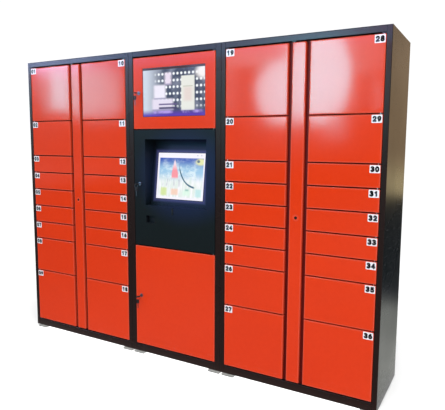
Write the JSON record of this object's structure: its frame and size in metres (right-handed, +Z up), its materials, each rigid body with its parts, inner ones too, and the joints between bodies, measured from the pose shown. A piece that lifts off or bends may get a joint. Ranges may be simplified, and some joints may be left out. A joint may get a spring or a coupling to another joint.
{
  "type": "coin operated locker",
  "caption": "Floor-standing bank of electronic storage lockers: two locker bays of hinged steel doors either side of a control bay with touch screen, display door and coin entry.",
  "frame": {"origin": "on the floor, under the middle of the overall box, keys in their locks included", "axes": "+X to the right seen from the front, +Y from the front to the back, +Z up"},
  "size_m": [2.63, 0.55, 2.02],
  "materials": {
    "door_paint": "glossy orange-red powder coat",
    "frame_paint": "satin charcoal powder coat",
    "panel_paint": "satin near-black powder coat",
    "channel_paint": "satin dark red powder coat",
    "shelf_steel": "galvanised sheet, dark red paint at the front edge",
    "lock_zinc": "zinc plated",
    "pin_steel": "plain turned steel",
    "electronics_case": "black",
    "supply_case": "perforated",
    "cash_steel": "plain",
    "foot_steel": "pale grey painted plate",
    "monitor_case": "fine texture",
    "screen_case": "fine texture",
    "coin_black": "black",
    "lock_chrome": "dark nickel plating",
    "key_plastic": "black grips",
    "key_steel": "dull nickel plating",
    "label_plastic": "white printed labels",
    "screen_picture": "lit display"
  },
  "bodies": {
    "cabinet": {"left_bay_carcass": "frame_paint", "control_bay_carcass": "frame_paint", "right_bay_carcass": "frame_paint", "lock_channels": "channel_paint", "compartment_shelves": "shelf_steel", "electronic_locks": "lock_zinc", "hinge_pins": "pin_steel", "control_electronics": "electronics_case", "power_supply": "supply_case", "cash_box": "cash_steel", "levelling_feet": "foot_steel"},
    "door_01": {"door_01": "door_paint"},
    "door_02": {"door_02": "door_paint"},
    "door_03": {"door_03": "door_paint"},
    "door_04": {"door_04": "door_paint"},
    "door_05": {"door_05": "door_paint"},
    "door_06": {"door_06": "door_paint"},
    "door_07": {"door_07": "door_paint"},
    "door_08": {"door_08": "door_paint"},
    "door_09": {"door_09": "door_paint"},
    "door_10": {"door_10": "door_paint"},
    "door_11": {"door_11": "door_paint"},
    "door_12": {"door_12": "door_paint"},
    "door_13": {"door_13": "door_paint"},
    "door_14": {"door_14": "door_paint"},
    "door_15": {"door_15": "door_paint"},
    "door_16": {"door_16": "door_paint"},
    "door_17": {"door_17": "door_paint"},
    "door_18": {"door_18": "door_paint"},
    "door_19": {"door_19": "door_paint"},
    "door_20": {"door_20": "door_paint"},
    "door_21": {"door_21": "door_paint"},
    "door_22": {"door_22": "door_paint"},
    "door_23": {"door_23": "door_paint"},
    "door_24": {"door_24": "door_paint"},
    "door_25": {"door_25": "door_paint"},
    "door_26": {"door_26": "door_paint"},
    "door_27": {"door_27": "door_paint"},
    "door_28": {"door_28": "door_paint"},
    "door_29": {"door_29": "door_paint"},
    "door_30": {"door_30": "door_paint"},
    "door_31": {"door_31": "door_paint"},
    "door_32": {"door_32": "door_paint"},
    "door_33": {"door_33": "door_paint"},
    "door_34": {"door_34": "door_paint"},
    "door_35": {"door_35": "door_paint"},
    "door_36": {"door_36": "door_paint"},
    "service_door": {"service_door": "door_paint"},
    "control_door": {"control_door": "panel_paint", "touch_screen": "screen_case", "coin_acceptor": "coin_black"},
    "monitor_door": {"monitor_door": "door_paint", "ad_monitor": "monitor_case"},
    "left_channel_cover": {"left_channel_cover": "door_paint"},
    "left_cover_lock_plug": {"left_cover_lock_plug": "lock_chrome"},
    "right_channel_cover": {"right_channel_cover": "door_paint"},
    "right_cover_lock_plug": {"right_cover_lock_plug": "lock_chrome"},
    "monitor_lock_plug": {"monitor_lock_plug": "lock_chrome"},
    "control_lock_plug": {"control_lock_plug": "lock_chrome"},
    "service_lock_plug": {"service_lock_plug": "lock_chrome"}
  },
  "joints": [
    {"name": "door_01_hinge", "type": "hinge", "parent": "cabinet", "child": "door_01", "pos_m": [-1.272, -0.219, 1.7865], "axis": [0, 0, -1], "range_deg": [0, 90]},
    {"name": "door_02_hinge", "type": "hinge", "parent": "cabinet", "child": "door_02", "pos_m": [-1.272, -0.219, 1.4655], "axis": [0, 0, -1], "range_deg": [0, 90]},
    {"name": "door_03_hinge", "type": "hinge", "parent": "cabinet", "child": "door_03", "pos_m": [-1.272, -0.219, 1.2768], "axis": [0, 0, -1], "range_deg": [0, 90]},
    {"name": "door_04_hinge", "type": "hinge", "parent": "cabinet", "child": "door_04", "pos_m": [-1.272, -0.219, 1.1514], "axis": [0, 0, -1], "range_deg": [0, 90]},
    {"name": "door_05_hinge", "type": "hinge", "parent": "cabinet", "child": "door_05", "pos_m": [-1.272, -0.219, 1.026], "axis": [0, 0, -1], "range_deg": [0, 90]},
    {"name": "door_06_hinge", "type": "hinge", "parent": "cabinet", "child": "door_06", "pos_m": [-1.272, -0.219, 0.9006], "axis": [0, 0, -1], "range_deg": [0, 90]},
    {"name": "door_07_hinge", "type": "hinge", "parent": "cabinet", "child": "door_07", "pos_m": [-1.272, -0.219, 0.7752], "axis": [0, 0, -1], "range_deg": [0, 90]},
    {"name": "door_08_hinge", "type": "hinge", "parent": "cabinet", "child": "door_08", "pos_m": [-1.272, -0.219, 0.5865], "axis": [0, 0, -1], "range_deg": [0, 90]},
    {"name": "door_09_hinge", "type": "hinge", "parent": "cabinet", "child": "door_09", "pos_m": [-1.272, -0.219, 0.2655], "axis": [0, 0, -1], "range_deg": [0, 90]},
    {"name": "door_10_hinge", "type": "hinge", "parent": "cabinet", "child": "door_10", "pos_m": [-0.393, -0.219, 1.7865], "axis": [0, 0, 1], "range_deg": [0, 90]},
    {"name": "door_11_hinge", "type": "hinge", "parent": "cabinet", "child": "door_11", "pos_m": [-0.393, -0.219, 1.4655], "axis": [0, 0, 1], "range_deg": [0, 90]},
    {"name": "door_12_hinge", "type": "hinge", "parent": "cabinet", "child": "door_12", "pos_m": [-0.393, -0.219, 1.2768], "axis": [0, 0, 1], "range_deg": [0, 90]},
    {"name": "door_13_hinge", "type": "hinge", "parent": "cabinet", "child": "door_13", "pos_m": [-0.393, -0.219, 1.1514], "axis": [0, 0, 1], "range_deg": [0, 90]},
    {"name": "door_14_hinge", "type": "hinge", "parent": "cabinet", "child": "door_14", "pos_m": [-0.393, -0.219, 1.026], "axis": [0, 0, 1], "range_deg": [0, 90]},
    {"name": "door_15_hinge", "type": "hinge", "parent": "cabinet", "child": "door_15", "pos_m": [-0.393, -0.219, 0.9006], "axis": [0, 0, 1], "range_deg": [0, 90]},
    {"name": "door_16_hinge", "type": "hinge", "parent": "cabinet", "child": "door_16", "pos_m": [-0.393, -0.219, 0.7752], "axis": [0, 0, 1], "range_deg": [0, 90]},
    {"name": "door_17_hinge", "type": "hinge", "parent": "cabinet", "child": "door_17", "pos_m": [-0.393, -0.219, 0.5865], "axis": [0, 0, 1], "range_deg": [0, 90]},
    {"name": "door_18_hinge", "type": "hinge", "parent": "cabinet", "child": "door_18", "pos_m": [-0.393, -0.219, 0.2655], "axis": [0, 0, 1], "range_deg": [0, 90]},
    {"name": "door_19_hinge", "type": "hinge", "parent": "cabinet", "child": "door_19", "pos_m": [0.393, -0.219, 1.7865], "axis": [0, 0, -1], "range_deg": [0, 90]},
    {"name": "door_20_hinge", "type": "hinge", "parent": "cabinet", "child": "door_20", "pos_m": [0.393, -0.219, 1.4655], "axis": [0, 0, -1], "range_deg": [0, 90]},
    {"name": "door_21_hinge", "type": "hinge", "parent": "cabinet", "child": "door_21", "pos_m": [0.393, -0.219, 1.2768], "axis": [0, 0, -1], "range_deg": [0, 90]},
    {"name": "door_22_hinge", "type": "hinge", "parent": "cabinet", "child": "door_22", "pos_m": [0.393, -0.219, 1.1514], "axis": [0, 0, -1], "range_deg": [0, 90]},
    {"name": "door_23_hinge", "type": "hinge", "parent": "cabinet", "child": "door_23", "pos_m": [0.393, -0.219, 1.026], "axis": [0, 0, -1], "range_deg": [0, 90]},
    {"name": "door_24_hinge", "type": "hinge", "parent": "cabinet", "child": "door_24", "pos_m": [0.393, -0.219, 0.9006], "axis": [0, 0, -1], "range_deg": [0, 90]},
    {"name": "door_25_hinge", "type": "hinge", "parent": "cabinet", "child": "door_25", "pos_m": [0.393, -0.219, 0.7752], "axis": [0, 0, -1], "range_deg": [0, 90]},
    {"name": "door_26_hinge", "type": "hinge", "parent": "cabinet", "child": "door_26", "pos_m": [0.393, -0.219, 0.5865], "axis": [0, 0, -1], "range_deg": [0, 90]},
    {"name": "door_27_hinge", "type": "hinge", "parent": "cabinet", "child": "door_27", "pos_m": [0.393, -0.219, 0.2655], "axis": [0, 0, -1], "range_deg": [0, 90]},
    {"name": "door_28_hinge", "type": "hinge", "parent": "cabinet", "child": "door_28", "pos_m": [1.272, -0.219, 1.7865], "axis": [0, 0, 1], "range_deg": [0, 90]},
    {"name": "door_29_hinge", "type": "hinge", "parent": "cabinet", "child": "door_29", "pos_m": [1.272, -0.219, 1.4655], "axis": [0, 0, 1], "range_deg": [0, 90]},
    {"name": "door_30_hinge", "type": "hinge", "parent": "cabinet", "child": "door_30", "pos_m": [1.272, -0.219, 1.2768], "axis": [0, 0, 1], "range_deg": [0, 90]},
    {"name": "door_31_hinge", "type": "hinge", "parent": "cabinet", "child": "door_31", "pos_m": [1.272, -0.219, 1.1514], "axis": [0, 0, 1], "range_deg": [0, 90]},
    {"name": "door_32_hinge", "type": "hinge", "parent": "cabinet", "child": "door_32", "pos_m": [1.272, -0.219, 1.026], "axis": [0, 0, 1], "range_deg": [0, 90]},
    {"name": "door_33_hinge", "type": "hinge", "parent": "cabinet", "child": "door_33", "pos_m": [1.272, -0.219, 0.9006], "axis": [0, 0, 1], "range_deg": [0, 90]},
    {"name": "door_34_hinge", "type": "hinge", "parent": "cabinet", "child": "door_34", "pos_m": [1.272, -0.219, 0.7752], "axis": [0, 0, 1], "range_deg": [0, 90]},
    {"name": "door_35_hinge", "type": "hinge", "parent": "cabinet", "child": "door_35", "pos_m": [1.272, -0.219, 0.5865], "axis": [0, 0, 1], "range_deg": [0, 90]},
    {"name": "door_36_hinge", "type": "hinge", "parent": "cabinet", "child": "door_36", "pos_m": [1.272, -0.219, 0.2655], "axis": [0, 0, 1], "range_deg": [0, 90]},
    {"name": "service_door_hinge", "type": "hinge", "parent": "cabinet", "child": "service_door", "pos_m": [0.298, -0.219, 0.4145], "axis": [0, 0, 1], "range_deg": [0, 90]},
    {"name": "control_door_hinge", "type": "hinge", "parent": "cabinet", "child": "control_door", "pos_m": [0.298, -0.219, 1.1415], "axis": [0, 0, 1], "range_deg": [0, 90]},
    {"name": "monitor_door_hinge", "type": "hinge", "parent": "cabinet", "child": "monitor_door", "pos_m": [0.298, -0.219, 1.753], "axis": [0, 0, 1], "range_deg": [0, 90]},
    {"name": "left_channel_cover_hinge", "type": "hinge", "parent": "cabinet", "child": "left_channel_cover", "pos_m": [-0.863, -0.219, 1.026], "axis": [0, 0, -1], "range_deg": [0, 90]},
    {"name": "left_cover_lock_turn", "type": "hinge", "parent": "left_channel_cover", "child": "left_cover_lock_plug", "pos_m": [-0.8325, -0.225, 1.03], "axis": [0, -1, 0], "range_deg": [0, 90]},
    {"name": "right_channel_cover_hinge", "type": "hinge", "parent": "cabinet", "child": "right_channel_cover", "pos_m": [0.802, -0.219, 1.026], "axis": [0, 0, -1], "range_deg": [0, 90]},
    {"name": "right_cover_lock_turn", "type": "hinge", "parent": "right_channel_cover", "child": "right_cover_lock_plug", "pos_m": [0.8325, -0.225, 1.03], "axis": [0, -1, 0], "range_deg": [0, 90]},
    {"name": "monitor_lock_turn", "type": "hinge", "parent": "monitor_door", "child": "monitor_lock_plug", "pos_m": [-0.265, -0.225, 1.755], "axis": [0, 1, 0], "range_deg": [0, 90]},
    {"name": "control_lock_turn", "type": "hinge", "parent": "control_door", "child": "control_lock_plug", "pos_m": [-0.265, -0.225, 1.17], "axis": [0, 1, 0], "range_deg": [0, 90]},
    {"name": "service_lock_turn", "type": "hinge", "parent": "service_door", "child": "service_lock_plug", "pos_m": [-0.265, -0.225, 0.414], "axis": [0, 1, 0], "range_deg": [0, 90]}
  ]
}
